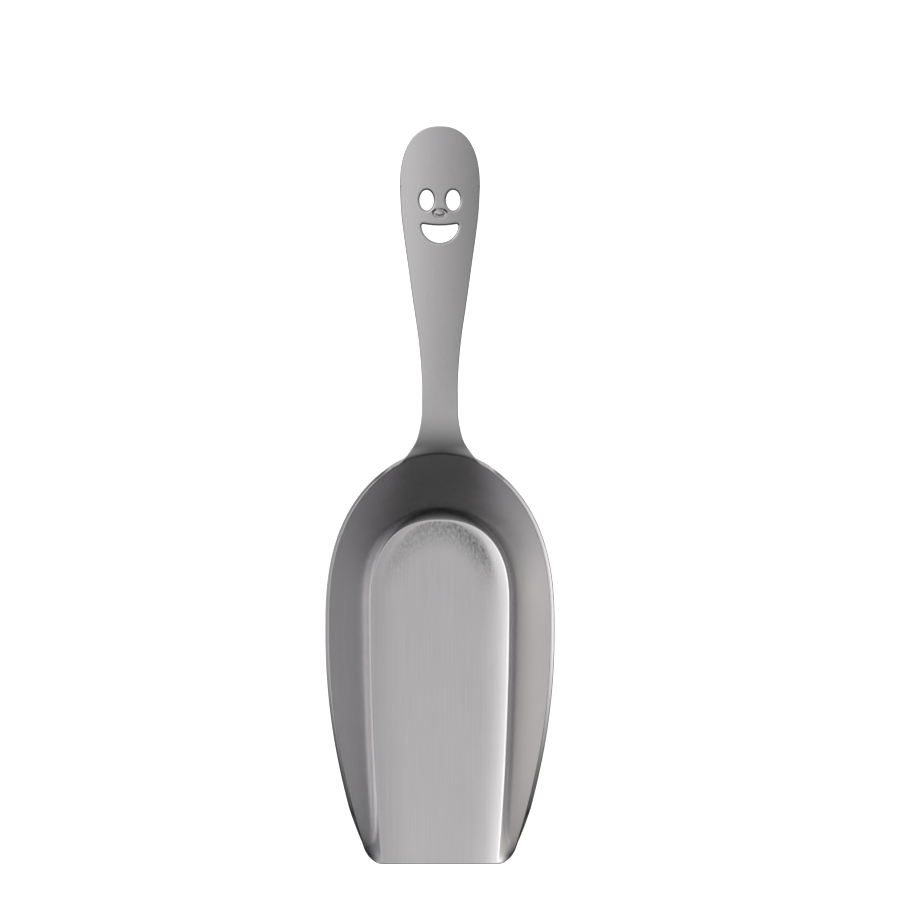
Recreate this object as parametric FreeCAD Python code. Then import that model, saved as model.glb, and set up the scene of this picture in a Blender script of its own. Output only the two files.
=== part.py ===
"""Ice scoop in satin stainless steel: a deep pressed bowl with an open front lip, an arched
handle strip pierced with a smiling face, and the weld that joins the two behind the neck.

Millimetres, +Z up. The bowl stands on its flat floor at Z = 0, the lip points to -Y, the
handle rises to +Y, and the origin is the bottom centre of the bounding box. Lengths named
"from_lip" are measured from the lip towards the handle.
"""

import math
import os

import FreeCAD
import Part

V = FreeCAD.Vector

# ---- driving dimensions ---------------------------------------------------------------
OVERALL_LENGTH = 205.0
SHEET = 1.2                      # sheet thickness of both pressings

RIM_HEIGHT = 28.0                # top of the rim above the table
DRAW_HEIGHT = 32.0               # the bowl is drawn this deep, then trimmed to the rim line
FLOOR_RADIUS = 3.8               # inside radius between floor and wall

# Outlines of the bowl's outer skin. Behind "centre_from_lip" each is half a superellipse,
# and in front of it the sides draw in along a parabola to "lip_half" at the lip.
FLOOR_OUTLINE = dict(half=22.95, depth=25.7, px=2.3, py=2.4, centre_from_lip=73.2, lip_half=19.95)
RIM_OUTLINE = dict(half=31.95, depth=49.1, px=1.88, py=2.5, centre_from_lip=66.3, lip_half=29.2)

RIM_FALL_FROM_LIP = 64.0         # the rim is level behind this and falls to the lip before it
RIM_FALL_POWER = 2.0

# Each end of the lip is cut round, seen from above, and on along a straight line
LIP_STRAIGHT_HALF = 15.75
LIP_CORNER_RADIUS = 5.0
LIP_CORNER_TURN = 66.0           # degrees
LIP_CORNER_RUN = 11.0            # length of the straight cut after the round

NECK_BENDS = ((12.0, 30.0), (32.0, 14.0))   # (radius, slope that the bend ends at, degrees)
ROOT_HALF = 12.8                 # half width of the handle's root along the outer rim
HANDLE_OUTLINE = (               # (half width, from_lip) of the upper skin, seen from above
    (12.0, 110.5),
    (11.2, 111.2),
    (10.4, 112.0),
    (9.6, 112.9),
    (8.8, 114.0),
    (7.9, 115.3),
    (6.9, 117.1),
    (6.2, 119.0),
    (5.7, 121.0),
    (5.15, 124.3),
    (5.0, 129.3),
    (5.4, 141.0),
    (7.1, 154.3),
    (8.9, 167.6),
    (10.7, 181.0),
    (11.1, 188.0),
)
ARCH_RADIUS = 45.0               # the handle is arched across by this radius
ARCH_FROM_LIP = (124.3, 141.0)   # flat across before the first, fully arched from the second
TIP_POWER = 2.4                  # the round end is half a superellipse with this power

# The pierced face, in the plane of the handle strip
EYE_HALF = (2.05, 3.0)           # half width, half height
EYE_SPACING = 7.35
EYE_FROM_LIP = 184.6
NOSE_FROM_LIP = 181.0
NOSE_RECESS_HALF = (2.0, 1.4)
NOSE_RECESS_DEPTH = 0.25
NOSE_BOSS_HALF = (1.25, 0.85, 0.4)
MOUTH_FROM_LIP = 178.1           # the two corners of the smile
MOUTH_HALF = 5.1
MOUTH_SAG_TOP = 0.55
MOUTH_SAG_BOTTOM = 5.4
MOUTH_CORNER_RADIUS = 0.5

WELD_HALF = 7.5                  # the bead runs this far each way from the middle
WELD_LEG = 1.2                   # how far it comes down the bowl's outer skin
WELD_CROWN = 0.5                 # how far it bulges
CONTACT_GAP = 0.02               # between the bead's head and the hollow skin it lies along

# ---- small helpers --------------------------------------------------------------------
LIP_Y = -OVERALL_LENGTH / 2
FRONT_MARGIN = 5.0               # the tub is drawn this far past the lip before it is trimmed


def at(x, from_lip, z=0.0):
    """A point given by its distance from the lip."""
    return V(x, LIP_Y + from_lip, z)


def spline(points):
    """One smooth edge through the points."""
    curve = Part.BSplineCurve()
    curve.interpolate(points)
    return curve.toShape()


def line(a, b):
    return Part.LineSegment(a, b).toShape()


def outline_point(outline, angle):
    """(x, from_lip) on the rounded back of an outline: 0 degrees is the right side, 90 the back."""
    c, s = math.cos(math.radians(angle)), math.sin(math.radians(angle))
    x = math.copysign(abs(c) ** (2 / outline["px"]), c) * outline["half"]
    return x, outline["centre_from_lip"] + outline["depth"] * abs(s) ** (2 / outline["py"])


def back_point(outline, x):
    """from_lip of the rounded back of an outline, at this distance from the middle."""
    rest = 1 - abs(x / outline["half"]) ** outline["px"]
    return outline["centre_from_lip"] + outline["depth"] * rest ** (1 / outline["py"])


def back_end(outline):
    return outline["centre_from_lip"] + outline["depth"]


def side_point(outline, from_lip):
    """Half width of an outline in front of its rounded back."""
    reach = (outline["centre_from_lip"] - from_lip) / outline["centre_from_lip"]
    return outline["half"] - (outline["half"] - outline["lip_half"]) * reach ** 2


def grown(low, high, share):
    """The outline that lies at this share of the way from the low one to the high one."""
    mixed = {k: low[k] + share * (high[k] - low[k]) for k in low}
    mixed["px"], mixed["py"] = high["px"], high["py"]
    return mixed


# ---- the bowl -------------------------------------------------------------------------
def u_wire(outline, z):
    """The closed U of an outline: right side, round back, left side, and straight front."""
    centre = outline["centre_from_lip"]
    front = [-FRONT_MARGIN + (centre + FRONT_MARGIN) * i / 6 for i in range(6)]
    right = [(side_point(outline, y), y) for y in front]
    back = [outline_point(outline, 7.5 * i) for i in range(25)]
    left = [(-x, y) for x, y in reversed(right)]
    points = [at(x, y, z) for x, y in right + back + left]
    return Part.Wire([spline(points), line(points[-1], points[0])])


def drawn_tub():
    """The deep drawing before trimming: a solid tub, its bottom edge rounded, then hollowed."""
    top = grown(FLOOR_OUTLINE, RIM_OUTLINE, DRAW_HEIGHT / RIM_HEIGHT)
    wires = [u_wire(FLOOR_OUTLINE, 0), u_wire(top, DRAW_HEIGHT)]
    solid = Part.makeLoft(wires, True, True)
    bottom_u = [
        e
        for e in solid.Edges
        if abs(e.BoundBox.ZMax) < 0.01 and e.BoundBox.YLength > 10
    ]
    solid = solid.makeFillet(FLOOR_RADIUS + SHEET, bottom_u)
    open_faces = [
        f
        for f in solid.Faces
        if f.BoundBox.ZMin > DRAW_HEIGHT - 0.01 or f.BoundBox.YLength < 0.01
    ]
    return solid.makeThickness(open_faces, -SHEET, 0.001)


def rim_height(from_lip):
    """Height of the trimmed rim above the table, seen from the side."""
    reach = max(0.0, 1 - from_lip / RIM_FALL_FROM_LIP)
    return SHEET + (RIM_HEIGHT - SHEET) * (1 - reach ** RIM_FALL_POWER)


def prism(edges, along):
    """The solid that a closed outline sweeps when it is moved by this vector."""
    return Part.Face(Part.Wire(edges)).extrude(along)


def polyline(points):
    return [line(a, b) for a, b in zip(points, points[1:])]


def trim_tool():
    """Everything that the trimming cut takes off: above the rim line and in front of the lip."""
    x = -RIM_OUTLINE["half"] * 1.5
    level = RIM_FALL_FROM_LIP
    stations = [level * i / 8 for i in range(9)]
    fall = Part.BSplineCurve()
    fall.interpolate(
        Points=[at(x, y, rim_height(y)) for y in stations],
        InitialTangent=V(0, level, RIM_FALL_POWER * (RIM_HEIGHT - SHEET)),
        FinalTangent=V(0, 1, 0),
    )
    over = DRAW_HEIGHT + 5
    before = -2 * FRONT_MARGIN
    corners = [
        at(x, level, RIM_HEIGHT),
        at(x, OVERALL_LENGTH, RIM_HEIGHT),
        at(x, OVERALL_LENGTH, over),
        at(x, before, over),
        at(x, before, -1),
        at(x, 0, -1),
        at(x, 0, SHEET),
    ]
    return prism([*polyline(corners), fall.toShape()], V(-2 * x, 0, 0))


def lip_corner_tool(side):
    """The outside of one rounded lip corner, as an upright prism."""
    half, r, turn = LIP_STRAIGHT_HALF, LIP_CORNER_RADIUS, math.radians(LIP_CORNER_TURN)
    arc = [
        at(side * (half + r * math.sin(turn * share)), r - r * math.cos(turn * share), -1)
        for share in (0, 0.5, 1)
    ]
    far = arc[-1] + V(side * math.cos(turn), math.sin(turn), 0) * LIP_CORNER_RUN
    outside = far + V(side * half, 0, 0)
    corners = [arc[-1], far, outside, V(outside.x, LIP_Y - 2, -1), V(arc[0].x, LIP_Y - 2, -1), arc[0]]
    return prism([Part.Arc(*arc).toShape(), *polyline(corners)], V(0, 0, RIM_HEIGHT))


def bowl():
    shape = drawn_tub().cut(trim_tool())
    for side in (-1, 1):
        shape = shape.cut(lip_corner_tool(side))
    return shape


# ---- the handle strip -----------------------------------------------------------------
WALL_SLOPE = math.degrees(math.atan2(RIM_HEIGHT, back_end(RIM_OUTLINE) - back_end(FLOOR_OUTLINE)))
HANDLE_SLOPE = NECK_BENDS[-1][1]
ACROSS = [i / 4 for i in range(-4, 5)]      # shares of the half width, from side to side


def wall_section(z):
    """The back wall cut level at height z: the inner arc, and the outer arc one sheet behind it."""
    outline = grown(FLOOR_OUTLINE, RIM_OUTLINE, z / RIM_HEIGHT)
    outer = [at(x, back_point(outline, x), z) for x in (ROOT_HALF * s for s in ACROSS)]
    inner = []
    for point in outer:
        slope = back_point(outline, point.x + 0.1) - back_point(outline, point.x - 0.1)
        normal = V(-slope / 0.2, 1, 0).normalize()
        inner.append(point - normal * (SHEET / math.sin(math.radians(WALL_SLOPE))))
    return inner, outer


def edge_half(from_lip):
    """Half width of the handle's outline: a smooth curve through its listed points."""
    points = [(y, half) for half, y in HANDLE_OUTLINE]
    if from_lip <= points[0][0] or from_lip >= points[-1][0]:
        return points[0][1] if from_lip <= points[0][0] else points[-1][1]
    i = max(n for n in range(len(points) - 1) if points[n][0] <= from_lip)
    (y0, h0), (y1, h1) = points[i], points[i + 1]
    before = points[i - 1] if i > 0 else points[i]
    after = points[i + 2] if i + 2 < len(points) else (y1 + 10, h1)
    m0 = (h1 - before[1]) / (y1 - before[0])
    m1 = (after[1] - h0) / (after[0] - y0)
    t, span = (from_lip - y0) / (y1 - y0), y1 - y0
    return (
        h0 * (2 * t ** 3 - 3 * t ** 2 + 1)
        + h1 * (3 * t ** 2 - 2 * t ** 3)
        + m0 * span * (t ** 3 - 2 * t ** 2 + t)
        + m1 * span * (t ** 3 - t ** 2)
    )


def section_half(from_lip, slope, bow):
    """Half width of a bowed section whose two corners lie on the handle's outline."""
    low, high = 0.0, ROOT_HALF
    for _ in range(40):
        half = (low + high) / 2
        corner = from_lip - math.sin(math.radians(slope)) * bow * half * half / 2
        low, high = (half, high) if half < edge_half(corner) else (low, half)
    return half


def strip_axes(slope):
    """Unit vectors along the strip's middle line and square to its upper skin."""
    c, s = math.cos(math.radians(slope)), math.sin(math.radians(slope))
    return V(0, c, s), V(0, -s, c)


def strip_normal(up, lean):
    """The upper skin's normal where its bowed section has this gradient."""
    return (up - V(lean, 0, 0)).normalize()


def strip_section(from_lip, z, slope):
    """A cut across the strip, square to its slope."""
    bow = bow_at(from_lip)
    half = section_half(from_lip, slope, bow)
    _, up = strip_axes(slope)
    top, under = [], []
    for x in (half * share for share in ACROSS):
        top.append(at(x, from_lip, z) + up * (bow * x * x / 2))
        under.append(top[-1] - strip_normal(up, bow * x) * SHEET)
    return top, under


def section_wire(top, under):
    return Part.Wire([
        spline(top),
        line(top[-1], under[-1]),
        spline(under[::-1]),
        line(under[0], top[0]),
    ])


def seam_bow():
    """Bow of the strip at the seam, where it takes the round shape of the back wall."""
    inner, _ = wall_section(RIM_HEIGHT)
    drop = inner[len(inner) // 2].y - inner[0].y
    return 2 * drop / math.sin(math.radians(WALL_SLOPE)) / inner[0].x ** 2


def neck_line():
    """(from_lip, z, slope) along the middle of the upper skin, round the two bends."""
    inner, _ = wall_section(RIM_HEIGHT)
    y, z, slope = inner[len(inner) // 2].y - LIP_Y, RIM_HEIGHT, WALL_SLOPE
    found = [(y, z, slope)]
    for radius, end in NECK_BENDS:
        for share in (0.05, 0.12, 0.22, 0.36, 0.52, 0.68, 0.84, 1.0):
            s = slope + share * (end - slope)
            dy = radius * (math.sin(math.radians(slope)) - math.sin(math.radians(s)))
            dz = radius * (math.cos(math.radians(s)) - math.cos(math.radians(slope)))
            found.append((y + dy, z + dz, s))
        y, z, slope = found[-1]
    return found


def handle_z(from_lip):
    """Height of the straight handle's upper skin, on its middle line."""
    y, z, slope = neck_line()[-1]
    return z + (from_lip - y) * math.tan(math.radians(slope))


def bow_at(from_lip):
    """Bow across the strip: hollow at the seam, flat across the neck, arched from there on.

    At x from the middle, the skin stands bow * x * x / 2 above its middle line.
    """
    flat, arched = ARCH_FROM_LIP
    begin = neck_line()[0][0]
    if from_lip < flat:
        return seam_bow() * ((flat - from_lip) / (flat - begin)) ** 2
    return -min(1.0, (from_lip - flat) / (arched - flat)) / ARCH_RADIUS


def strip():
    """The bent and arched strip, from the seam to past the tip, as wide as its outline."""
    sections = [wall_section(RIM_HEIGHT)]
    sections += [strip_section(*place) for place in neck_line()[1:]]
    start, end = neck_line()[-1][0], OVERALL_LENGTH + 3
    for i in range(1, 21):
        from_lip = start + (end - start) * i / 20
        sections.append(strip_section(from_lip, handle_z(from_lip), HANDLE_SLOPE))
    return Part.makeLoft([section_wire(*s) for s in sections], True, False)


def tip_prism():
    """Upright prism that leaves the strip alone up to its shoulders and rounds its end."""
    half, shoulder = HANDLE_OUTLINE[-1]
    depth = OVERALL_LENGTH - shoulder
    tip = dict(half=half, depth=depth, px=TIP_POWER, py=TIP_POWER, centre_from_lip=shoulder)
    round_end = [at(*outline_point(tip, 9 * i)) for i in range(21)]
    corners = [
        round_end[-1],
        at(-2 * half, shoulder),
        at(-2 * half, 0),
        at(2 * half, 0),
        at(2 * half, shoulder),
        round_end[0],
    ]
    return prism([spline(round_end), *polyline(corners)], V(0, 0, OVERALL_LENGTH))


def onto_handle(shape, from_lip):
    """Moves a shape from the XY plane into the plane of the handle's upper skin."""
    shape.rotate(V(0, 0, 0), V(1, 0, 0), HANDLE_SLOPE)
    shape.translate(at(0, from_lip, handle_z(from_lip)))
    return shape


def ellipse_prism(half_x, half_y, low, high, x=0.0):
    """An upright elliptical column."""
    major, minor = max(half_x, half_y), min(half_x, half_y)
    column = prism([Part.Ellipse(V(0, 0, 0), major, minor).toShape()], V(0, 0, high - low))
    if half_y > half_x:
        column.rotate(V(0, 0, 0), V(0, 0, 1), 90)
    column.translate(V(x, 0, low))
    return column


def smile_prism(low, high):
    """The mouth: a crescent between two arcs, with rounded corners."""
    left, right = V(-MOUTH_HALF, 0, low), V(MOUTH_HALF, 0, low)
    arcs = [
        Part.Arc(left, V(0, -MOUTH_SAG_TOP, low), right).toShape(),
        Part.Arc(right, V(0, -MOUTH_SAG_BOTTOM, low), left).toShape(),
    ]
    crescent = prism(arcs, V(0, 0, high - low))
    corners = [e for e in crescent.Edges if e.BoundBox.XLength < 0.01]
    return crescent.makeFillet(MOUTH_CORNER_RADIUS, corners)


def nose_boss():
    """A small oval dome that stands up inside its pressed ring."""
    boss = Part.makeSphere(1.0)
    grow = FreeCAD.Matrix()
    grow.scale(*NOSE_BOSS_HALF)
    boss = boss.transformGeometry(grow)
    boss.translate(V(0, 0, -NOSE_RECESS_DEPTH))
    return boss


def handle():
    """The strip cut to its outline and pierced with the face."""
    below, above = -3 * SHEET, 3 * SHEET
    body = strip().common(tip_prism())
    for side in (-1, 1):
        eye = ellipse_prism(*EYE_HALF, below, above, side * EYE_SPACING / 2)
        body = body.cut(onto_handle(eye, EYE_FROM_LIP))
    body = body.cut(onto_handle(smile_prism(below, above), MOUTH_FROM_LIP))
    recess = ellipse_prism(*NOSE_RECESS_HALF, -NOSE_RECESS_DEPTH, above)
    body = body.cut(onto_handle(recess, NOSE_FROM_LIP))
    return body.fuse(onto_handle(nose_boss(), NOSE_FROM_LIP))


# ---- the weld -------------------------------------------------------------------------
def neck_weld():
    """A bead along the outside of the seam, where the handle stands on the bowl's rim."""
    from_lip, z, slope = neck_line()[3]
    bow = bow_at(from_lip)
    _, up = strip_axes(slope)
    below = grown(FLOOR_OUTLINE, RIM_OUTLINE, 1 - WELD_LEG / RIM_HEIGHT)
    wires = []
    for x in (WELD_HALF * share for share in ACROSS):
        seam = at(x, back_point(RIM_OUTLINE, x), RIM_HEIGHT)
        foot = at(x, back_point(below, x), RIM_HEIGHT - WELD_LEG)
        head = at(x, from_lip, z) + up * (bow * x * x / 2) - strip_normal(up, bow * x) * SHEET
        head = V(x, head.y + CONTACT_GAP, head.z)
        crown = (foot + head) / 2 + V(0, WELD_CROWN, -WELD_CROWN * 0.6)
        wires.append(Part.Wire([
            line(foot, seam),
            line(seam, head),
            Part.Arc(head, crown, foot).toShape(),
        ]))
    return Part.makeLoft(wires, True, False)


# ---- export ---------------------------------------------------------------------------
def solids_of(shape):
    """The shape's solids alone, cleaned of splits that the cuts left."""
    return Part.makeCompound(shape.removeSplitter().Solids)


def main():
    os.makedirs("parts", exist_ok=True)
    bowl_shape = solids_of(bowl())
    handle_shape = solids_of(handle())
    weld_shape = solids_of(neck_weld())
    made = {"bowl": bowl_shape, "handle": handle_shape, "neck_weld": weld_shape}
    for name, shape in made.items():
        out = shape.Solids[0] if len(shape.Solids) == 1 else shape
        print(name, "solids", len(shape.Solids), "valid", out.isValid(),
              "volume", round(out.Volume, 1), "box", out.BoundBox)
        out.exportStep(f"parts/{name}.step")


main()
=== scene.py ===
"""Looks for the ice scoop: finely meshed satin steel skins over the CAD bowl, handle and weld,
on a white table under soft studio light, seen from straight above."""

import math

import bmesh
import bpy
import numpy as np
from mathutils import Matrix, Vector, geometry


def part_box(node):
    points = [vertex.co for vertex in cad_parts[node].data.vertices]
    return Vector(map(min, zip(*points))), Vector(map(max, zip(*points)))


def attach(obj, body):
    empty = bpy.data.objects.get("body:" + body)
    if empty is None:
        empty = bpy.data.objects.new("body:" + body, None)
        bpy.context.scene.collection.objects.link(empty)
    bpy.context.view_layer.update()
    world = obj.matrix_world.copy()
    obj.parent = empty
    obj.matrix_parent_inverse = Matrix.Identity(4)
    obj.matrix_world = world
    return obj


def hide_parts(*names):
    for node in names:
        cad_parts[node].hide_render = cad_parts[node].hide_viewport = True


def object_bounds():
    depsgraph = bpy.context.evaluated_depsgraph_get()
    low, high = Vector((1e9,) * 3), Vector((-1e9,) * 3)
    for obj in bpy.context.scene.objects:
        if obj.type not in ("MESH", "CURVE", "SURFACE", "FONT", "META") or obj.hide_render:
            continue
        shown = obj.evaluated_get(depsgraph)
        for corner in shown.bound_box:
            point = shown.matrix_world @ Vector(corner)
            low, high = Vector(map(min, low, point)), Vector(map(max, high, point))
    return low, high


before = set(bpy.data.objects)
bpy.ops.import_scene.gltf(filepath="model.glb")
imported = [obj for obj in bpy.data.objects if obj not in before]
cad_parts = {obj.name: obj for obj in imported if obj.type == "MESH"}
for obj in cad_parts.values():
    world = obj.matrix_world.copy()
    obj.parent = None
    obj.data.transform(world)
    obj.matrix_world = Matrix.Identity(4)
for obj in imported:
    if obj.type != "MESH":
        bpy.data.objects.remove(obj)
cad_low, cad_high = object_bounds()
bowl_low, bowl_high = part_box("bowl")
_, handle_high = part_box("handle")

# ---- sizes, in millimetres ------------------------------------------------------------
MM = 0.001
LIP_Y = bowl_low.y / MM
RIM_Z = bowl_high.z / MM
LENGTH = (handle_high.y - bowl_low.y) / MM
SHEET = 1.2
SHEET_GAP = 0.03                 # the handle is this much thinner, so that no two skins coincide
EDGE = 0.3                       # rounding of the bowl's cut edges
HANDLE_EDGE = 0.22               # rounding of the handle's cut edge
HOLE_EDGE = 0.6                  # rounding of the pierced holes' edges
EDGE_SHARES = (0.06, 0.2, 0.42, 0.7, 1.0)   # rows of a rounded edge, as shares of its radius
FLOOR = dict(half=22.95, depth=25.7, px=2.3, py=2.4, centre=73.2, lip=19.95)
RIM = dict(half=bowl_high.x / MM, depth=49.1, px=1.88, py=2.5, centre=66.3, lip=29.2)
OUTER_RADIUS = 5.0               # between the floor and the wall, on the outside
CREASE_RADIUS = 7.0              # between the ramp outside the crease and the wall
RAMP_SLOPES = (24.0, 38.0)       # slope just outside the crease, and where the radius begins
RAMP_WIDTH = 2.2                 # how wide that ramp is at the very back
ROLL_SLOPE = 10.5                # the floor rolls up to this slope before it meets the crease
BEHIND = 60.0                    # what lies further than this from the lip is the bowl's back
FALL = 64.0                      # the rim is level behind this and falls to the lip before it
LIP_RISE = 0.75                  # the rim stands this much higher at the lip than its curve says
LIP_RISE_END = 25.0              # and that has died away this far from the lip
LIP_STRAIGHT = 15.75             # half width of the lip's straight front
LIP_ROUND = 5.0                  # radius of the lip's corners, seen from above
LIP_TURN = math.radians(62.0)    # how far round the corners turn
LIP_CURVE = 0.12                 # how the cut beyond the lip's corner bends towards the sides
LIP_REACH = 22.0                 # the corner cuts end this far from the lip
RIM_SHEET = 1.1                  # the wall thins towards the rim
RIM_THICK_X = (12.0, 20.0)       # behind, it has its full thickness inside the first of these
NECK_BENDS = ((0.5, 32.0), (40.0, 15.0))    # radius, and the slope that the bend ends at, degrees
ARCH = 45.0                      # the handle is arched across by this radius
ARCH_FROM_LIP = (122.0, 141.0)   # flat across before the first, fully arched from the second
SEAM_SAG = 0.0083                # plan curve of the fold between wall and handle
SEAM_EDGE_X = (12.2, 15.5)       # the rim's rounding starts outside the fold's end
# how far the wall is drawn out towards the fold: in the middle, at the corners, and where it fades
SEAM_PULL = dict(
    middle=0.2, corner=0.4, corner_x=10.5, spread=6.0, fade=(14.0, 26.0), from_z=4.0,
    outer_loss=0.85, outer_fade=(3.5, 9.0),
)

# how finely the bowl is meshed
BACK_COLUMNS = 150
SIDE_COLUMNS = 76
FIRST_COLUMN = 0.006             # tau of the column nearest the lip
ROLL_ROWS = 14
WALL_ROWS = 44
ARC_STEPS = 30
WALL_STEPS = 160
FLOOR_ACROSS = 26


def smooth(a, b, x):
    t = np.clip((np.asarray(x, float) - a) / (b - a), 0, 1)
    return t * t * (3 - 2 * t)


def edge_drop(distance, radius):
    """How far a rounded edge stands below the flat skin, this far in from the edge."""
    left = np.clip(radius - np.asarray(distance, float), 0, radius)
    return radius - np.sqrt(np.maximum(radius ** 2 - left ** 2, 0))


# ---- the bowl's outline ---------------------------------------------------------------
def outline(o, tau):
    """Plan points of an outline. tau 0 to 1 is the right side, 1 to 2 the back, 2 to 3 the left."""
    q = np.where(tau < 1.5, np.minimum(tau, 1), np.minimum(3 - tau, 1))
    angle = np.pi * np.clip(tau - 1, 0, 1)
    c, s = np.cos(angle), np.sin(angle)
    side_x = o["half"] - (o["half"] - o["lip"]) * (1 - q) ** 2
    back_x = o["half"] * np.abs(c) ** (2 / o["px"])
    back_y = o["centre"] + o["depth"] * np.abs(s) ** (2 / o["py"])
    on_back = (tau > 1) & (tau < 2)
    x = np.where(on_back, back_x, side_x) * np.where(tau < 1.5, 1, -1)
    return np.stack([x, np.where(on_back, back_y, o["centre"] * q)], 1)


def columns():
    """tau of every column, closer together near the lip and round the back."""
    side = FIRST_COLUMN + (1 - FIRST_COLUMN) * (np.arange(SIDE_COLUMNS) / SIDE_COLUMNS) ** 1.25
    back = 1 + np.arange(BACK_COLUMNS + 1) / BACK_COLUMNS
    # leave out the very middle, so that mirrored columns pair up
    back = back[np.abs(back - 1.5) > 1e-6]
    return np.concatenate([side, back, 3 - side[::-1]])


# per column: the floor's and the rim's outlines, the floor's tangent and outward normal, the
# wall's slope, how far it leans along the outline, and where its crease lies outside the floor
TAU = columns()
F = outline(FLOOR, TAU)
R = outline(RIM, TAU)
F_RUN = np.concatenate([[0], np.cumsum(np.linalg.norm(np.diff(F, axis=0), axis=1))])
F_TANGENT = np.gradient(F, F_RUN, axis=0)
T = F_TANGENT / np.linalg.norm(F_TANGENT, axis=1)[:, None]
N = np.stack([T[:, 1], -T[:, 0]], 1)
THETA = np.arctan2(RIM_Z, ((R - F) * N).sum(1))
LEAN = ((R - F) * T).sum(1) / RIM_Z
CREASE = -OUTER_RADIUS * np.tan(THETA / 2)


def place(s, z):
    """Points at plan distance s outside the floor outline and height z; one row per column."""
    lean = T[:, None, :] * (LEAN[:, None] * z)[..., None]
    xy = F[:, None, :] + N[:, None, :] * s[..., None] + lean
    return np.concatenate([xy, z[..., None]], 2)


def rim_height(y):
    reach = np.clip(1 - y / FALL, 0, 1)
    lip_rise = LIP_RISE * (1 - smooth(0.0, LIP_RISE_END, y))
    return SHEET + (RIM_Z - SHEET) * (1 - reach ** 2) + lip_rise


def lip_front(x):
    """from_lip of the front edge at x: straight, round the corner, then curving into the side."""
    out = np.maximum(np.abs(x) - LIP_STRAIGHT, 0)
    turn_x, turn_y = LIP_ROUND * math.sin(LIP_TURN), LIP_ROUND * (1 - math.cos(LIP_TURN))
    bow = LIP_ROUND - np.sqrt(np.maximum(LIP_ROUND ** 2 - np.minimum(out, turn_x) ** 2, 0))
    past = np.maximum(out - turn_x, 0)
    return np.where(out < turn_x, bow, turn_y + past * (math.tan(LIP_TURN) + LIP_CURVE * past))


def room(points):
    """Positive inside the trimmed sheet, negative where the trimming cuts took it off."""
    x, y, z = points[..., 0], points[..., 1], points[..., 2]
    far_inside = 9.0
    front = np.where(y < LIP_REACH, (y - lip_front(x)) * math.cos(LIP_TURN), far_inside)
    return np.minimum(rim_height(y) - z, front)


def trimmed(dense):
    """Cuts each column's line where it leaves the trimmed sheet, and spaces its rows afresh."""
    step = np.linalg.norm(np.diff(dense, axis=1), axis=2)
    length = np.concatenate([np.zeros((len(dense), 1)), np.cumsum(step, 1)], 1)
    left = room(dense)
    rows = (np.arange(WALL_ROWS + 1) / WALL_ROWS) ** 1.5
    made, ends = [], []
    for points, run, g in zip(dense, length, left):
        out = np.nonzero(g < 0)[0]
        end = run[-1]
        if len(out) and out[0] > 0:
            i = out[0]
            end = run[i - 1] + (run[i] - run[i - 1]) * g[i - 1] / (g[i - 1] - g[i])
        at = end * rows
        made.append(np.stack([np.interp(at, run, points[:, k]) for k in range(3)], 1))
        ends.append(end)
    return np.array(made), np.array(ends)


BACKNESS = np.abs(TAU - 1.5)     # 0 at the very back of the floor, 0.5 where its sides begin
ROLL = 0.9 + 8.6 * smooth(0.08, 0.75, BACKNESS)
ROLL_POWER = 0.4 + 1.2 * smooth(0.2, 0.8, BACKNESS)
RAMP = RAMP_WIDTH * np.exp(-((BACKNESS / 0.2) ** 1.6))
CREASE_Z = SHEET + math.tan(math.radians(ROLL_SLOPE)) * ROLL / (ROLL_POWER + 1)


def inner_wall():
    """The inside, from the crease round the floor, out over the ramp, round its radius and up."""
    top_s = RIM_Z / np.tan(THETA) - SHEET / np.sin(THETA)
    low, high = (math.radians(a) for a in RAMP_SLOPES)
    share = np.linspace(0, 1, 12)[None, :]
    ramp_s = CREASE[:, None] + RAMP[:, None] * share
    ramp_z = CREASE_Z[:, None] + RAMP[:, None] * (
        math.tan(low) * share + (math.tan(high) - math.tan(low)) * share ** 2 / 2
    )
    start_s, start_z = ramp_s[:, -1], ramp_z[:, -1]
    end = THETA.copy()
    for _ in range(12):
        arc_s = start_s + CREASE_RADIUS * (np.sin(end) - math.sin(high))
        arc_z = start_z + CREASE_RADIUS * (math.cos(high) - np.cos(end))
        end = np.arctan2(RIM_Z - arc_z, top_s - arc_s)
    share = np.linspace(0, 1, ARC_STEPS)[None, 1:]
    phi = high + (end[:, None] - high) * share
    s = start_s[:, None] + CREASE_RADIUS * (np.sin(phi) - math.sin(high))
    z = start_z[:, None] + CREASE_RADIUS * (math.cos(high) - np.cos(phi))
    s, z = np.concatenate([ramp_s, s], 1), np.concatenate([ramp_z, z], 1)
    up = np.linspace(0, 1, WALL_STEPS)[None, 1:]
    s = np.concatenate([s, s[:, -1:] + (top_s[:, None] - s[:, -1:]) * up], 1)
    z = np.concatenate([z, z[:, -1:] + (RIM_Z - z[:, -1:]) * up], 1)
    # where the rim is cut low, the wall still reaches its thin edge
    cut = rim_height(F[:, 1])
    for _ in range(6):
        cut = np.minimum(rim_height(F[:, 1] + (R - F)[:, 1] * cut / RIM_Z), RIM_Z)
    full = (R[:, 1] > BEHIND) * (1 - smooth(*RIM_THICK_X, np.abs(R[:, 0])))
    thin = RIM_SHEET + (SHEET - RIM_SHEET) * full
    reached = np.array([np.interp(h, row_z, row_s) for h, row_z, row_s in zip(cut, z, s)])
    short = cut / np.tan(THETA) - thin / np.sin(THETA) - reached
    share = np.clip((z - CREASE_Z[:, None]) / (cut - CREASE_Z)[:, None], 0, 1)
    return place(s + short[:, None] * share ** 1.2, z)


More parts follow.
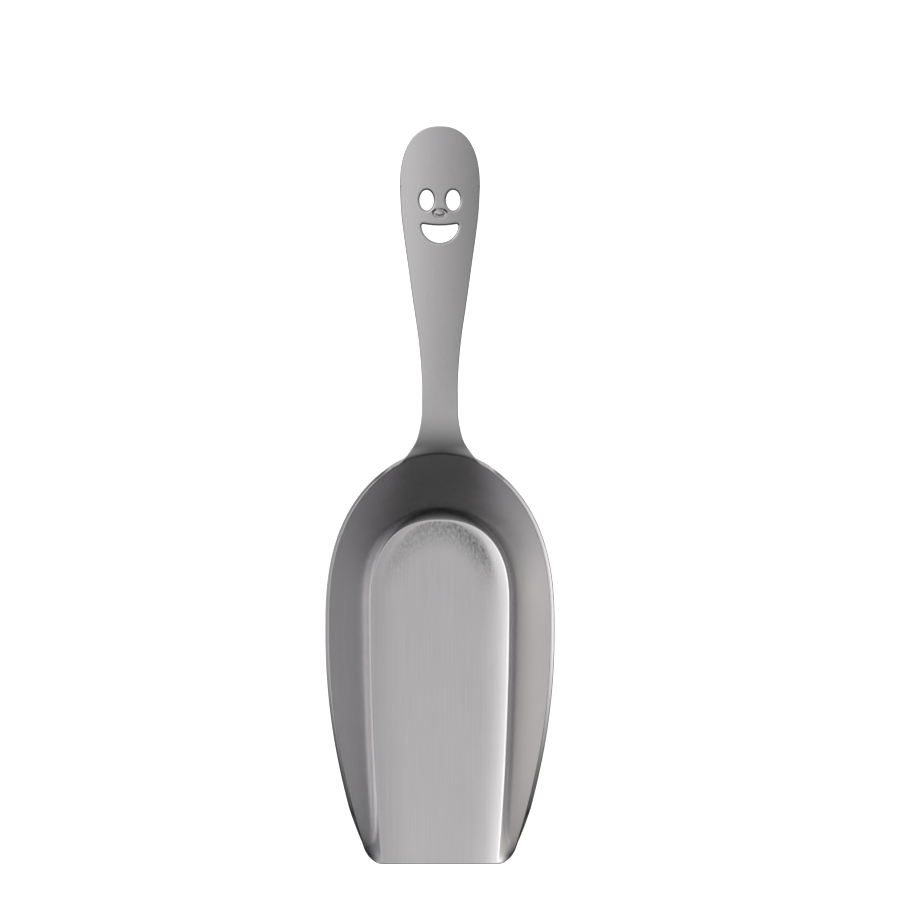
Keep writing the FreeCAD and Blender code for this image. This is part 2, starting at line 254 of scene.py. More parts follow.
def outer_wall():
    share = np.linspace(0, 1, ARC_STEPS)[None, :]
    phi = THETA[:, None] * share
    s = CREASE[:, None] + OUTER_RADIUS * np.sin(phi)
    z = OUTER_RADIUS * (1 - np.cos(phi))
    up = np.linspace(0, 1, WALL_STEPS)[None, 1:]
    top_s = (RIM_Z / np.tan(THETA))[:, None]
    s = np.concatenate([s, s[:, -1:] + (top_s - s[:, -1:]) * up], 1)
    z = np.concatenate([z, z[:, -1:] + (RIM_Z - z[:, -1:]) * up], 1)
    return place(s, z)


def roll(inner):
    """Rows of the floor inside the crease, from the flat out to the crease."""
    share = (1 - np.arange(ROLL_ROWS) / ROLL_ROWS)[None, :] ** 1.2
    q = ROLL[:, None] * share
    s = CREASE[:, None] - q
    rise = (CREASE_Z - SHEET)[:, None] * (1 - share) ** (ROLL_POWER + 1)[:, None]
    z = SHEET + rise if inner else 0 * q
    flat = place(s, np.zeros_like(s))
    flat[..., 2] = z
    return flat


def seam_shift(points, outer):
    """The wall is drawn out towards the fold, so that the handle leaves it nearly straight across."""
    x = np.abs(points[..., 0])
    near_corner = np.exp(-(((x - SEAM_PULL["corner_x"]) / SEAM_PULL["spread"]) ** 2))
    pull = SEAM_PULL["middle"] + SEAM_PULL["corner"] * near_corner
    pull = pull * (1 - smooth(*SEAM_PULL["fade"], x))
    if outer:
        pull = pull * (1 - SEAM_PULL["outer_loss"] * smooth(*SEAM_PULL["outer_fade"], x))
    height = smooth(SEAM_PULL["from_z"], RIM_Z, points[..., 2])
    points[..., 1] += pull * (points[..., 1] > BEHIND) * height
    return points


def unit(v):
    return v / np.maximum(np.linalg.norm(v, axis=-1, keepdims=True), 1e-12)


def rounded_end(grid, ends, radius, outward):
    """Rounds the last rows of a trimmed skin down towards the other skin."""
    du = np.gradient(grid, axis=0)
    dv = np.gradient(grid, axis=1)
    normal = unit(np.cross(du, dv))[:, -2, :] * outward
    last = grid[:, -1, :]
    tangent = unit(last - grid[:, -3, :])
    radius = np.where(radius < 0.05, 0, np.minimum(radius, ends * 0.4))
    rows = []
    for share in (*reversed(EDGE_SHARES), 0.0):
        drop = edge_drop(radius * share, radius)
        rows.append(last - tangent * (radius * share)[:, None] - normal * drop[:, None])
    keep = grid[:, :-1, :].copy()
    # a row just before the rounding keeps the wall's shading clean, and no other lies past it
    support = (last - tangent * (radius * 1.15 + 0.05)[:, None])[:, None, :]
    run = np.linalg.norm(last[:, None, :] - keep, axis=2)
    keep = np.where((run < (radius * 1.3 + 0.1)[:, None])[..., None], support, keep)
    return np.concatenate([keep, support, np.stack(rows, 1)], 1)


# ---- mesh helpers ---------------------------------------------------------------------
class Sheet:
    """Collects vertices and faces, in millimetres from the lip, and makes the object."""

    def __init__(self):
        self.points, self.faces = [], []

    def add(self, points):
        start = len(self.points)
        self.points.extend(np.asarray(points, float).reshape(-1, 3))
        return start

    def grid(self, ids, flip=False):
        for a, b in zip(ids, ids[1:]):
            for i in range(len(a) - 1):
                face = [a[i], b[i], b[i + 1], a[i + 1]]
                face = [v for n, v in enumerate(face) if v not in face[:n]]
                if len(face) > 2:
                    self.faces.append(face[::-1] if flip else face)

    def build(self, name, material, masks=None):
        mesh = bpy.data.meshes.new(name)
        points = np.array(self.points)
        metres = (points + np.array([0, LIP_Y, 0])) * MM
        mesh.from_pydata(metres.tolist(), [], [list(map(int, f)) for f in self.faces])
        for mask, values in (masks(points) if masks else {}).items():
            mesh.attributes.new(mask, "FLOAT", "POINT").data.foreach_set("value", values)
        work = bmesh.new()
        work.from_mesh(mesh)
        bmesh.ops.remove_doubles(work, verts=work.verts, dist=2e-6)
        bmesh.ops.dissolve_degenerate(work, edges=work.edges, dist=1e-6)
        bmesh.ops.recalc_face_normals(work, faces=work.faces)
        for face in work.faces:
            face.smooth = True
        for joint in work.edges:
            joint.smooth = joint.calc_face_angle(0.0) < math.radians(40)
        work.to_mesh(mesh)
        work.free()
        mesh.materials.append(material)
        made = bpy.data.objects.new(name, mesh)
        bpy.context.collection.objects.link(made)
        return made


# ---- the bowl's mesh ------------------------------------------------------------------
def bowl_skins():
    inner_dense, outer_dense = inner_wall(), outer_wall()
    tops = inner_dense[:, -1, :]
    back = tops[:, 1] > BEHIND
    inner_dense = seam_shift(inner_dense, False)
    outer_dense = seam_shift(outer_dense, True)
    inner, inner_ends = trimmed(inner_dense)
    outer, outer_ends = trimmed(outer_dense)
    seam = inner[back, -1, :]
    radius = EDGE * np.where(back, smooth(*SEAM_EDGE_X, np.abs(inner[:, -1, 0])), 1.0)
    inner = rounded_end(inner, inner_ends, radius, -1)
    outer = rounded_end(outer, outer_ends, radius, 1)
    return inner, outer, seam


INNER, OUTER, SEAM = bowl_skins()


def bowl_mesh(material):
    sheet = Sheet()
    count = len(TAU)
    half = count // 2
    across = FLOOR_ACROSS
    loops = []
    for walls, is_inner in ((INNER, True), (OUTER, False)):
        rows = np.concatenate([roll(is_inner), walls], 1)
        start = sheet.add(rows)
        ids = start + np.arange(rows.shape[0] * rows.shape[1]).reshape(rows.shape[:2])
        flip = not is_inner
        sheet.grid(ids, flip)
        # flat floor: straight lines across, from each column to its mirror image
        lines = []
        for i in range(half):
            a, b = ids[i, 0], ids[count - 1 - i, 0]
            pa, pb = np.array(sheet.points[a]), np.array(sheet.points[b])
            shares = np.arange(1, across)[:, None] / across
            mid = sheet.add(pa + (pb - pa) * shares)
            lines.append([a, *range(mid, mid + across - 1), b])
        sheet.grid(lines, not flip)
        # the last line closes against the roll between the two middle columns
        last = lines[-1]
        middle = {ids[half - 1, 0], ids[half, 0], ids[half, 1], ids[half - 1, 1]}
        first = sheet.faces.index(next(f for f in sheet.faces if set(f) == middle))
        ring = [ids[half - 1, 1], *last, ids[half, 1]]
        sheet.faces[first] = ring if flip else ring[::-1]
        # the strip in front of the first column, out to the lip
        line = [*ids[0, ::-1], *lines[0][1:-1], *ids[count - 1, :]]
        pts = np.array([sheet.points[i] for i in line])
        full = np.concatenate([rows[0, ::-1], pts[len(ids[0]):-len(ids[0])], rows[-1]])
        front = np.minimum(lip_front(full[:, 0]), full[:, 1])
        deep = full[:, 1] - front
        strip = [line]
        sign = 1 if is_inner else -1
        for gap in (0.75, 0.5, 0.3, 0.18, 0.08, 0.02, 0.0):
            y = front + np.minimum(gap * EDGE / 0.3, deep * gap / 0.8)
            drop = np.minimum(edge_drop(y - front, EDGE), EDGE) * smooth(0.0, 0.15, deep)
            z = full[:, 2] - sign * drop
            new = sheet.add(np.stack([full[:, 0], y, z], 1))
            strip.append(list(range(new, new + len(full))))
        sheet.grid(strip, flip)
        loops.append((ids[:, -1], strip[-1]))
    # the cut edge: round the rim, and across the lip
    (rim_in, lip_in), (rim_out, lip_out) = loops
    for a, b in ((rim_in, rim_out), (lip_in, lip_out)):
        pa = np.array([sheet.points[i] for i in a])
        pb = np.array([sheet.points[i] for i in b])
        # the rim's cut is level across the sheet, and the lip corner's cut is upright
        corner = pb.copy()
        low = (pb[:, 2] < pa[:, 2] - EDGE) & (pa[:, 1] < LIP_REACH) & (len(a) == count)
        corner[low, 2] = pa[low, 2]
        rows = [list(a)]
        for to, share in ((corner, 0.4), (corner, 0.8), (corner, 0.95), (pb, 0.12), (pb, 0.5)):
            since = pa if to is corner else corner
            new = sheet.add(since + (to - since) * share)
            rows.append(list(range(new, new + len(pa))))
        rows.append(list(b))
        sheet.grid(rows)
    return sheet.build("bowl_skin", material, bowl_masks)


def bowl_masks(points):
    """Masks for a speckled patch of painted shade, with mottling, at the back of the floor inside the
    crease, and for a painted highlight along the crease.
    """
    crease = F + N * CREASE[:, None]
    gap = np.full(len(points), 99.0)
    near = np.nonzero((points[:, 2] > 1.0) & (points[:, 2] < 4.0))[0]
    for i in range(0, len(near), 500):
        part = near[i:i + 500]
        d = points[part, None, :2] - crease[None, :, :]
        gap[part] = np.sqrt((d ** 2).sum(2)).min(1)
    inside_it = inside(crease, points[:, :2]) | (gap < 0.15)
    # painted shade: a band of the floor just inside the back crease, stronger on the right, which the
    # material darkens and speckles
    back = smooth(74.0, 90.0, points[:, 1]) * inside_it
    right = smooth(-16.0, 12.0, points[:, 0])
    start = 0.5 + 3.2 * smooth(2.0, 15.0, np.abs(points[:, 0]))
    band = smooth(0.6 * start, 1.1 * start, gap) * (1 - smooth(start + 0.5, start + 9.5, gap))
    shade_and_mottle = back * band * (0.45 + 0.55 * right)
    # painted highlight: a thin lighter line along the crease, which the material also makes a little
    # smoother
    crease_highlight_and_polish = (1 - smooth(0.1, 0.7, gap)) * inside_it
    return {"shade_and_mottle": shade_and_mottle, "crease_highlight_and_polish": crease_highlight_and_polish}


# ---- the handle -----------------------------------------------------------------------
WALL_SLOPE = math.atan2(RIM_Z, RIM["centre"] + RIM["depth"] - FLOOR["centre"] - FLOOR["depth"])
SEAM_MIDDLE = float(np.interp(0, SEAM[::-1, 0], SEAM[::-1, 1]))


def centre_line():
    """Arc length, from_lip, height and slope along the middle of the handle's upper skin."""
    s, y, z, slope = [0.0], [SEAM_MIDDLE], [RIM_Z], [WALL_SLOPE]
    for radius, end in NECK_BENDS:
        begin, target = slope[-1], math.radians(end)
        y0, z0, s0 = y[-1], z[-1], s[-1]
        for i in range(1, 41):
            a = begin + (target - begin) * i / 40
            s.append(s0 + radius * (begin - a))
            y.append(y0 + radius * (math.sin(begin) - math.sin(a)))
            z.append(z0 + radius * (math.cos(a) - math.cos(begin)))
            slope.append(a)
    run = 120.0
    s.append(s[-1] + run)
    y.append(y[-1] + run * math.cos(slope[-1]))
    z.append(z[-1] + run * math.sin(slope[-1]))
    slope.append(slope[-1])
    return tuple(np.array(v) for v in (s, y, z, slope))


LINE_S, LINE_Y, LINE_Z, LINE_SLOPE = centre_line()


def s_of(y):
    return np.interp(y, LINE_Y, LINE_S)


def handle_skin(x, s):
    """Points of the upper skin: x across, s along it from the fold."""
    y, z = np.interp(s, LINE_S, LINE_Y), np.interp(s, LINE_S, LINE_Z)
    seam = np.interp(x, SEAM[::-1, 0], SEAM[::-1, 1]) - SEAM_MIDDLE
    gentle = -SEAM_SAG * x ** 2
    y = y + gentle * (1 - smooth(0, 12, s)) + (seam - gentle) * (1 - smooth(0, 3.0, s))
    arch = smooth(*(s_of(y_arch) for y_arch in ARCH_FROM_LIP), s) / ARCH
    z = z - arch * x ** 2 / 2
    return np.stack([x, y, z], -1)


SHOULDER_Y = 188.0               # the round end begins here
# the sides of the handle, seen from above: from_lip, and the half width there
OUTLINE_Y = (
    113.2, 114.9, 117.6, 121.0, 124.3, 129.3, 134.3, 141.0, 147.6, 154.3, 161.0, 167.6, 174.3,
    181.0, SHOULDER_Y,
)
OUTLINE_HALF = (9.7, 8.5, 6.8, 5.7, 5.15, 5.0, 5.0, 5.4, 6.1, 7.1, 8.05, 8.95, 9.9, 10.7, 11.1)
ROOT_FLARE = 2.3                 # the drawn-out corners at the fold
ROOT_FLARE_LENGTH = 0.45
TIP_POWER = 2.4                  # the round end is half a superellipse with this power


def hermite(xs, ys, x):
    """Smooth curve through the listed points."""
    xs, ys = np.array(xs), np.array(ys)
    slopes = np.gradient(ys, xs)
    i = np.clip(np.searchsorted(xs, x) - 1, 0, len(xs) - 2)
    span = xs[i + 1] - xs[i]
    t = np.clip((x - xs[i]) / span, 0, 1)
    return (
        ys[i] * (2 * t ** 3 - 3 * t ** 2 + 1)
        + ys[i + 1] * (3 * t ** 2 - 2 * t ** 3)
        + slopes[i] * span * (t ** 3 - 2 * t ** 2 + t)
        + slopes[i + 1] * span * (t ** 3 - t ** 2)
    )


def side_half(s):
    """Half width of the handle at s, up to its shoulders."""
    half = np.full_like(s, 8.0)
    for _ in range(30):
        half = 0.5 * (half + hermite(OUTLINE_Y, OUTLINE_HALF, handle_skin(half, s)[..., 1]))
    return half + ROOT_FLARE * np.exp(-s / ROOT_FLARE_LENGTH)


SHOULDER_S = float(s_of(SHOULDER_Y))
TIP_S = float(s_of(LENGTH))


def handle_outline():
    """The handle's edge as (x, s), from the right end of the seam, round the tip, to the left."""
    s = np.concatenate([np.linspace(0, 6, 40)[:-1], np.linspace(6, SHOULDER_S, 190)])
    half = side_half(s)
    angle = np.linspace(0, np.pi, 130)[1:-1]
    c, t = np.cos(angle), np.sin(angle)
    tip_x = half[-1] * np.sign(c) * np.abs(c) ** (2 / TIP_POWER)
    tip_s = SHOULDER_S + (TIP_S - SHOULDER_S) * np.abs(t) ** (2 / TIP_POWER)
    x = np.concatenate([half, tip_x, -half[::-1]])
    return np.stack([x, np.concatenate([s, tip_s, s[::-1]])], 1)


# the pierced face, in the plane of the handle
EYE_X = 3.66
EYE_HALF = (1.95, 2.9)           # half width, half height
EYES_S = float(s_of(184.6))
NOSE_HALF = (2.2, 1.4)
NOSE_S = float(s_of(181.0))
MOUTH_S = float(s_of(178.1))


def ellipse(cx, cs, a, b, count):
    t = np.linspace(0, 2 * np.pi, count, endpoint=False)
    return np.stack([cx + a * np.cos(t), cs + b * np.sin(t)], 1)


def smile():
    """The crescent's outline, with its two corners rounded."""
    half, top, bottom, corner = 5.1, 0.55, 5.4, 0.45
    x = np.cos(np.linspace(0, np.pi, 46)) * (half - 1.6 * corner)
    upper = np.stack([x, -top * (1 - (x / half) ** 2)], 1)
    turn = np.linspace(0.5 * np.pi, 1.02 * np.pi, 12)[1:]
    left = np.stack([x[-1] + 1.5 * corner * np.cos(turn), corner * (np.sin(turn) - 1) - 0.1], 1)
    low = np.linspace(np.pi, 2 * np.pi, 80)[1:-1]
    start = left[-1]
    lower_x = -start[0] * np.cos(low)
    lower_y = start[1] - (bottom + start[1]) * np.abs(np.sin(low)) ** 1.05
    lower = np.stack([lower_x, lower_y], 1)
    right = left[::-1] * np.array([-1, 1])
    loop = np.concatenate([upper, left, lower, right])
    return loop + np.array([0, MOUTH_S])


def offset(loop, distance, closed=True):
    """The loop moved to its left by this distance."""
    nxt, prev = np.roll(loop, -1, 0), np.roll(loop, 1, 0)
    if not closed:
        nxt[-1], prev[0] = loop[-1], loop[0]
    t = unit(nxt - prev)
    return loop + np.stack([-t[:, 1], t[:, 0]], 1) * distance


def inside(loop, points):
    """Which points lie inside a closed loop."""
    x, y = points[:, 0][:, None], points[:, 1][:, None]
    a, b = loop, np.roll(loop, -1, 0)
    crosses = (a[:, 1] > y) != (b[:, 1] > y)
    with np.errstate(divide="ignore", invalid="ignore"):
        at = a[:, 0] + (y - a[:, 1]) * (b[:, 0] - a[:, 0]) / (b[:, 1] - a[:, 1])
    return (np.logical_and(crosses, x < at).sum(1) % 2) == 1


def far_from(points, others, gap):
    keep = np.ones(len(points), bool)
    for i in range(0, len(points), 500):
        d = points[i:i + 500, None, :] - others[None, :, :]
        keep[i:i + 500] = np.sqrt((d ** 2).sum(2)).min(1) > gap
    return keep


def nose_height(x, s):
    """A pressed oval ring with a small raised middle."""
    r = np.sqrt((x / NOSE_HALF[0]) ** 2 + ((s - NOSE_S) / NOSE_HALF[1]) ** 2)
    ring = smooth(1.0, 0.8, r) * smooth(0.4, 0.62, r)
    return -0.4 * ring + 0.08 * smooth(0.6, 0.0, r)


def handle_mesh(material):
    edge = handle_outline()
    holes = [ellipse(x, EYES_S, *EYE_HALF, 56) for x in (-EYE_X, EYE_X)] + [smile()]
    for i, loop in enumerate(holes):
        area = (loop[:, 0] * np.roll(loop[:, 1], -1) - loop[:, 1] * np.roll(loop[:, 0], -1)).sum()
        holes[i] = loop if area > 0 else loop[::-1]
    seam_x = np.linspace(-edge[0, 0], edge[0, 0], 60)[1:-1]
    boundary = np.concatenate([np.stack([seam_x, 0 * seam_x], 1), edge])
    points, loops, drops = [], [], []

    def put(batch, drop):
        start = len(points)
        points.extend(batch.tolist())
        drops.extend(np.broadcast_to(drop, (len(batch),)).tolist())
        return list(range(start, start + len(batch)))

    on_edge = np.concatenate([np.zeros(len(seam_x)), np.full(len(edge), HANDLE_EDGE)])
    loops.append(put(boundary, on_edge))
    for hole in holes:
        loops.append(put(hole, HOLE_EDGE))
    for share in (*EDGE_SHARES, 1.6):
        ring = offset(edge, HANDLE_EDGE * share, closed=False)
        put(ring[ring[:, 1] > 0.12], edge_drop(HANDLE_EDGE * share, HANDLE_EDGE))
        for hole in holes:
            ring = offset(hole, -HOLE_EDGE * share)
            put(ring, edge_drop(HOLE_EDGE * share, HOLE_EDGE))
    taken = np.array(points)
    nose = [np.array([[0.0, NOSE_S]])]
    for r in np.linspace(0.08, 1.2, 17):
        nose.append(ellipse(0, NOSE_S, NOSE_HALF[0] * r, NOSE_HALF[1] * r, max(10, int(44 * r))))
    nose = np.concatenate(nose)
    nose = nose[far_from(nose, taken, 0.22)]
    put(nose, 0.0)
    s_rows = np.concatenate([np.arange(0.3, 16, 0.3), np.arange(16, TIP_S, 0.75)])
    fill = []
    step = 0.62
    for n, s in enumerate(s_rows):
        x = np.arange(-12, 12.01, step) + (step / 2 if n % 2 else 0)
        fill.append(np.stack([x, np.full_like(x, s)], 1))
    fill = np.concatenate(fill)
    fill = fill[inside(boundary, fill)]
    for hole in holes:
        fill = fill[~inside(hole, fill)]
    fill = fill[far_from(fill, np.concatenate([taken, nose]), 0.36)]
    put(fill, 0.0)
    flat = [Vector(p) for p in points]
    lines = [(a, b) for loop in loops for a, b in zip(loop, loop[1:] + loop[:1])]
    out_points, _, faces, origin, _, _ = geometry.delaunay_2d_cdt(flat, lines, [], 1, 1e-7)
    source = [o[0] if o else None for o in origin]
    assert None not in source
    centres = np.array([[sum(out_points[i][k] for i in f) / len(f) for k in (0, 1)] for f in faces])
    keep = np.ones(len(faces), bool)
    for hole in holes:
        keep &= ~inside(hole, centres)
    faces = [[source[i] for i in f] for f, k in zip(faces, keep) if k]
    flat = np.array(points)
    drops = np.array(drops)
    x, s = flat[:, 0], flat[:, 1]
    top = handle_skin(x, s)
    thick = (SHEET - SHEET_GAP) / np.cos(np.interp(s, LINE_S, LINE_SLOPE))
    # the drawn-out corners at the fold thin away, so that they stay inside the wall
    thick *= 1 - 0.8 * smooth(6.0, 9.5, np.abs(x)) * (1 - smooth(1.0, 4.0, s))
    under = top.copy()
    under[:, 2] -= thick - drops
    top[:, 2] += nose_height(x, s) - drops
    sheet = Sheet()
    a = sheet.add(top)
    b = sheet.add(under)
    sheet.faces.extend([[a + i for i in f] for f in faces])
    sheet.faces.extend([[b + i for i in f[::-1]] for f in faces])
    for loop in loops:
        ids = [[a + i for i in loop + loop[:1]]]
        hi = top[loop]
        lo = under[loop]
        for share in (0.33, 0.67):
            new = sheet.add(hi + (lo - hi) * share)
            row = list(range(new, new + len(loop)))
            ids.append(row + row[:1])
        ids.append([b + i for i in loop + loop[:1]])
        sheet.grid(ids)
    return sheet.build("handle_skin", material)


# ---- the weld -------------------------------------------------------------------------
WELD_HALF = 7.5                  # half its length, across the handle
WELD_LEG = 1.2                   # how far it reaches down the wall and out under the handle
WELD_CROWN = 0.42                # how far it bulges
HEAD_BITE = 0.05                 # how far its head stands in the handle
FOOT_BITE = 0.03                 # and its foot in the wall
RIPPLE = 1.05                    # from one ripple of the bead to the next


def weld_mesh(material):
    """A rippled bead in the corner between the bowl's back and the underside of the handle."""
    rows, around = 181, 13
    x = np.linspace(-WELD_HALF, WELD_HALF, rows)
    rim = OUTER[OUTER[:, -1, 1] > BEHIND, -1, :][::-1]
    seam_y = np.interp(x, rim[:, 0], rim[:, 1])
    s = s_of(seam_y + WELD_LEG)
    head = handle_skin(x, s)
    head[:, 2] -= (SHEET - SHEET_GAP) / np.cos(np.interp(s, LINE_S, LINE_SLOPE)) - HEAD_BITE
    foot_y = seam_y - WELD_LEG / math.tan(WALL_SLOPE) - FOOT_BITE
    foot = np.stack([x, foot_y, 0 * x + RIM_Z - WELD_LEG], 1)
    root = np.stack([x, seam_y - 0.2, 0 * x + RIM_Z + 0.1], 1)
    v = np.linspace(0, 1, around)[None, :, None]
    phase = 2 * np.pi * x[:, None, None] / RIPPLE + 1.6 * np.cos(np.pi * (v - 0.5))
    ripple = 1 + 0.2 * np.sin(phase)
    out = np.array([0, math.sin(WALL_SLOPE), -math.cos(WALL_SLOPE)])
    skin = foot[:, None] + (head - foot)[:, None] * v + out * WELD_CROWN * ripple * np.sin(np.pi * v)
    loop = np.concatenate([skin, root[:, None]], 1)
    taper = (1 - np.abs(x / WELD_HALF) ** 10)[:, None, None] ** 0.5
    middle = loop.mean(1, keepdims=True)
    loop = middle + (loop - middle) * np.maximum(taper, 0.02)
    sheet = Sheet()
    start = sheet.add(loop)
    ids = start + np.arange(rows * (around + 1)).reshape(rows, around + 1)
    sheet.grid(np.concatenate([ids, ids[:, :1]], 1).tolist())
    sheet.faces.append(ids[0].tolist())
    sheet.faces.append(ids[-1, ::-1].tolist())
    return sheet.build("weld_bead", material)


# ---- materials ------------------------------------------------------------------------
def node(tree, kind, **values):
    made = tree.nodes.new(kind)
    for key, value in values.items():
        setattr(made, key, value)
    return made


def stretched_noise(tree, coords, scale, detail, rough):
    mapping = node(tree, "ShaderNodeMapping")
    mapping.inputs["Scale"].default_value = scale
    tree.links.new(coords, mapping.inputs["Vector"])
    noise = node(tree, "ShaderNodeTexNoise")
    noise.inputs["Scale"].default_value = 1.0
    noise.inputs["Detail"].default_value = detail
    noise.inputs["Roughness"].default_value = rough
    tree.links.new(mapping.outputs["Vector"], noise.inputs["Vector"])
    return noise.outputs["Fac"]


def ranged(tree, value, low, high, to_low, to_high):
    made = node(tree, "ShaderNodeMapRange")
    made.inputs["From Min"].default_value = low
    made.inputs["From Max"].default_value = high
    made.inputs["To Min"].default_value = to_low
    made.inputs["To Max"].default_value = to_high
    tree.links.new(value, made.inputs["Value"])
    return made.outputs["Result"]


def math_node(tree, operation, a, b):
    made = node(tree, "ShaderNodeMath", operation=operation)
    for i, value in enumerate((a, b)):
        if isinstance(value, (int, float)):
            made.inputs[i].default_value = value
        else:
            tree.links.new(value, made.inputs[i])
    return made.outputs[0]


def attribute(tree, name):
    return node(tree, "ShaderNodeAttribute", attribute_name=name).outputs["Fac"]


def added(tree, *values):
    total = values[0]
    for value in values[1:]:
        total = math_node(tree, "ADD", total, value)
    return total


def satin_steel(name, base, rough):
    """Fine hairlines along the scoop, faint clouding, a speckled patch of painted shade with mottling,
    and a painted highlight along the crease.
    """
    material = bpy.data.materials.new(name)
    material.use_nodes = True
    tree = material.node_tree
    shader = tree.nodes["Principled BSDF"]
    coords = node(tree, "ShaderNodeTexCoord").outputs["Object"]
    parts = node(tree, "ShaderNodeSeparateXYZ")
    tree.links.new(coords, parts.inputs[0])
    along = parts.outputs["Y"]
    # noise scales are per metre, smallest along the scoop, so that the marks run lengthwise
    hair = stretched_noise(tree, coords, (5200.0, 60.0, 2600.0), 4.0, 0.65)
    streak = stretched_noise(tree, coords, (900.0, 14.0, 500.0), 3.0, 0.55)
    cloud = stretched_noise(tree, coords, (90.0, 60.0, 90.0), 3.0, 0.5)
    grain = stretched_noise(tree, coords, (2600.0, 1300.0, 2600.0), 2.0, 0.6)
    speckle = stretched_noise(tree, coords, (1500.0, 900.0, 1500.0), 4.0, 0.7)
    shade_and_mottle, crease_highlight_and_polish = attribute(tree, "shade_and_mottle"), attribute(tree, "crease_highlight_and_polish")
    # the painted-shade patch, speckled: it darkens the colour, and as mottling it also roughens and bumps
    # the floor
    shade_and_mottle_spots = math_node(tree, "MULTIPLY", shade_and_mottle, ranged(tree, speckle, 0.35, 0.65, 0.25, 1.0))
    tone = added(
        tree,
        ranged(tree, hair, 0.3, 0.7, 0.97, 1.03),
        ranged(tree, streak, 0.3, 0.7, -0.012, 0.012),
        ranged(tree, cloud, 0.3, 0.7, -0.015, 0.015),
        # painted shade: the speckled patch darkens the colour at the back of the floor
        math_node(tree, "MULTIPLY", shade_and_mottle_spots, -0.7),
        # painted highlight: the crease line is lighter
        math_node(tree, "MULTIPLY", crease_highlight_and_polish, 0.12),
        # the colour is lighter towards the lip, and a little darker from the middle of the scoop to the
        # handle's end
        ranged(tree, along, cad_low.y, 0.0, 0.07, -0.02),
    )
    colour = node(tree, "ShaderNodeVectorMath", operation="SCALE")
    colour.inputs[0].default_value = base
    tree.links.new(tone, colour.inputs["Scale"])
    tree.links.new(colour.outputs["Vector"], shader.inputs["Base Color"])
    shader.inputs["Metallic"].default_value = 1.0
    wear = added(
        tree,
        ranged(tree, streak, 0.3, 0.7, rough - 0.015, rough + 0.015),
        ranged(tree, grain, 0.3, 0.7, -0.02, 0.02),
        ranged(tree, cloud, 0.3, 0.7, -0.02, 0.02),
        math_node(tree, "MULTIPLY", shade_and_mottle_spots, 0.14),
        math_node(tree, "MULTIPLY", crease_highlight_and_polish, -0.06),
    )
    tree.links.new(wear, shader.inputs["Roughness"])
    bump = node(tree, "ShaderNodeBump")
    bump.inputs["Strength"].default_value = 0.35
    bump.inputs["Distance"].default_value = 0.00001
    height = added(
        tree,
        hair,
        math_node(tree, "MULTIPLY", grain, 0.5),
        math_node(tree, "MULTIPLY", shade_and_mottle_spots, 2.0),
    )
    tree.links.new(height, bump.inputs["Height"])
    tree.links.new(bump.outputs["Normal"], shader.inputs["Normal"])
    return material


STEEL = satin_steel("satin_steel", (0.657, 0.646, 0.657), 0.22)
WELD = satin_steel("weld_steel", (0.52, 0.51, 0.5), 0.4)

bowl_piece = bowl_mesh(STEEL)
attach(bowl_piece, "root")
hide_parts("bowl")

handle_piece = handle_mesh(STEEL)
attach(handle_piece, "root")
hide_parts("handle")

weld_piece = weld_mesh(WELD)
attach(weld_piece, "root")
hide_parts("neck_weld")


# ---- stage, light and camera ----------------------------------------------------------
TABLE_HALF = 3.0                 # metres
TABLE_Z = -0.0002                # just under the scoop


def table_top():
    """A pale table. Its white isn't reflected in the steel."""
    mesh = bpy.data.meshes.new("table")
    corners = [(x * TABLE_HALF, y * TABLE_HALF, TABLE_Z) for x, y in ((-1, -1), (1, -1), (1, 1), (-1, 1))]
    mesh.from_pydata(corners, [], [(0, 1, 2, 3)])
    material = bpy.data.materials.new("table_white")
    material.use_nodes = True
    shader = material.node_tree.nodes["Principled BSDF"]
    shader.inputs["Base Color"].default_value = (0.9, 0.9, 0.9, 1)
    shader.inputs["Roughness"].default_value = 0.8
    shader.inputs["Emission Color"].default_value = (1, 1, 1, 1)
    shader.inputs["Emission Strength"].default_value = 0.9
    mesh.materials.append(material)
    made = bpy.data.objects.new("table", mesh)
    made.visible_glossy = False
    bpy.context.collection.objects.link(made)


WHITE = (1.0, 0.995, 0.995)
WARM = (1.0, 0.975, 0.92)
COOL = (0.95, 0.97, 1.0)
# Direction, strength, tightness and tint. The list began as a fitting program's output: seven of
# the directions and six of the tightnesses are still its own. The strengths were all changed
# afterwards, and the other lights were added one by one.
SOFT_BOXES = (
    ((0.0, 0.0, 1.0), 0.57, 2.6, WHITE),
    ((-0.47, 0.0, 0.88), 1.05, 40.0, WHITE),
    ((-0.29, -0.29, 0.91), 0.30, 24.0, WHITE),
    ((-0.5, -0.4, 0.77), 0.42, 24.0, WHITE),
    ((0.29, -0.29, 0.91), 0.10, 24.0, WHITE),
    ((0.0, -0.66, 0.75), 0.18, 40.0, WHITE),
    ((0.74, 0.0, 0.67), 0.26, 20.0, COOL),
    ((-0.74, 0.0, 0.67), 0.60, 20.0, WARM),
    ((0.97, 0.0, 0.24), 0.20, 16.0, COOL),
    ((-0.97, 0.0, 0.24), 0.50, 16.0, WARM),
    ((-0.95, 0.0, -0.3), 0.40, 16.0, WARM),
    ((0.0, 0.96, 0.28), 0.55, 6.0, WHITE),
    ((-0.72, 0.69, 0.1), 0.45, 9.0, WARM),
    ((0.72, 0.69, 0.1), 0.32, 9.0, COOL),
    ((0.0, 0.0, -1.0), 0.55, 1.5, WHITE),
)


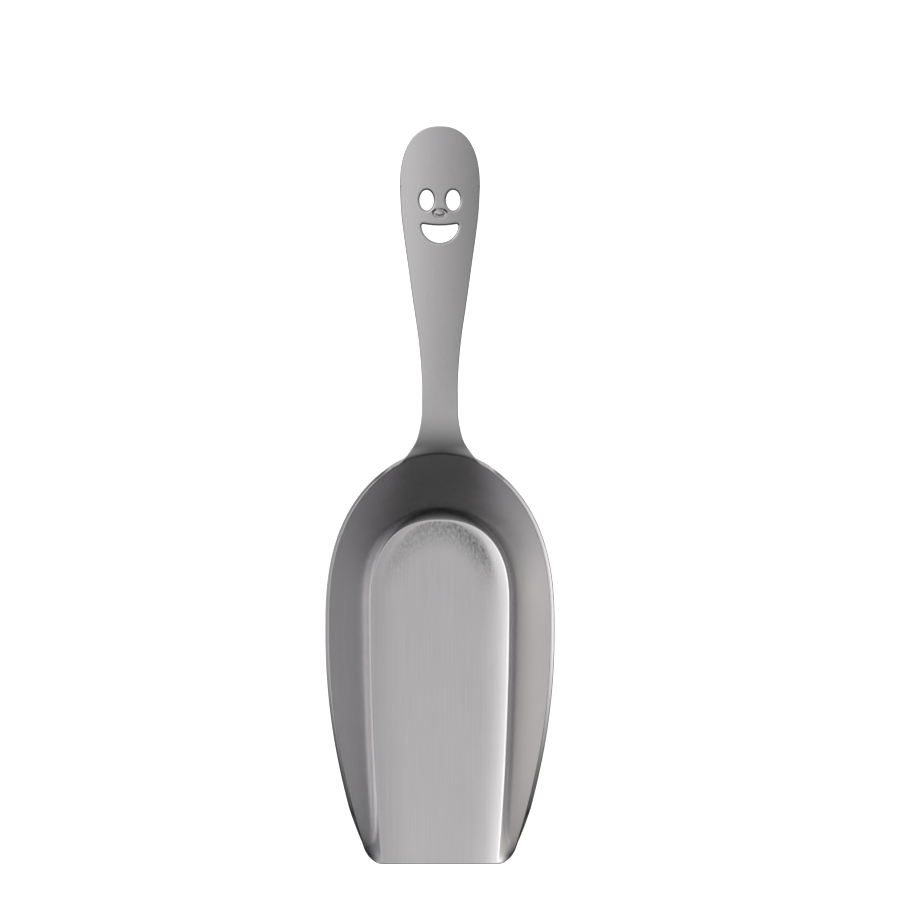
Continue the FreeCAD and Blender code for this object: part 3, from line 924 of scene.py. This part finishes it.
def sky():
    """Soft light from all round: broad and narrow lobes, each with its own tint."""
    world = bpy.data.worlds.new("studio")
    bpy.context.scene.world = world
    world.use_nodes = True
    tree = world.node_tree
    coords = node(tree, "ShaderNodeTexCoord").outputs["Generated"]
    total = None
    for direction, strength, tightness, tint in SOFT_BOXES:
        dot = node(tree, "ShaderNodeVectorMath", operation="DOT_PRODUCT")
        tree.links.new(coords, dot.inputs[0])
        dot.inputs[1].default_value = Vector(direction).normalized()
        lobe = math_node(tree, "POWER", math_node(tree, "MAXIMUM", dot.outputs["Value"], 0.0), tightness)
        light = node(tree, "ShaderNodeVectorMath", operation="SCALE")
        light.inputs[0].default_value = Vector(tint) * strength
        tree.links.new(lobe, light.inputs["Scale"])
        if total:
            both = node(tree, "ShaderNodeVectorMath", operation="ADD")
            tree.links.new(total, both.inputs[0])
            tree.links.new(light.outputs["Vector"], both.inputs[1])
            light = both
        total = light.outputs["Vector"]
    lit = tree.nodes["Background"]
    tree.links.new(total, lit.inputs["Color"])
    # the studio's plain white is what shows behind the scoop; the steel reflects the lobes only
    plain = node(tree, "ShaderNodeBackground")
    plain.inputs["Color"].default_value = (1, 1, 1, 1)
    chosen = node(tree, "ShaderNodeMixShader")
    tree.links.new(node(tree, "ShaderNodeLightPath").outputs["Is Camera Ray"], chosen.inputs["Fac"])
    tree.links.new(lit.outputs["Background"], chosen.inputs[1])
    tree.links.new(plain.outputs["Background"], chosen.inputs[2])
    tree.links.new(chosen.outputs["Shader"], tree.nodes["World Output"].inputs["Surface"])


# the camera looks straight down; all in metres but the sensor, which is in millimetres
CAMERA_OVER = (0.0028, 0.0130)
CAMERA_HEIGHT = 6.0
FRAME_WIDTH = 0.25               # what the picture is wide at this height above the table:
FRAMED_AT_Z = 0.025
SENSOR = 36.0


def camera():
    data = bpy.data.cameras.new("camera")
    made = bpy.data.objects.new("camera", data)
    bpy.context.collection.objects.link(made)
    bpy.context.scene.camera = made
    made.location = (*CAMERA_OVER, CAMERA_HEIGHT)
    made.rotation_euler = (0, 0, 0)
    data.sensor_width = SENSOR
    data.lens = SENSOR * (CAMERA_HEIGHT - FRAMED_AT_Z) / FRAME_WIDTH
    data.clip_end = 10.0


table_top()
sky()
camera()
scene = bpy.context.scene
scene.view_settings.view_transform = "Standard"
scene.view_settings.look = "None"
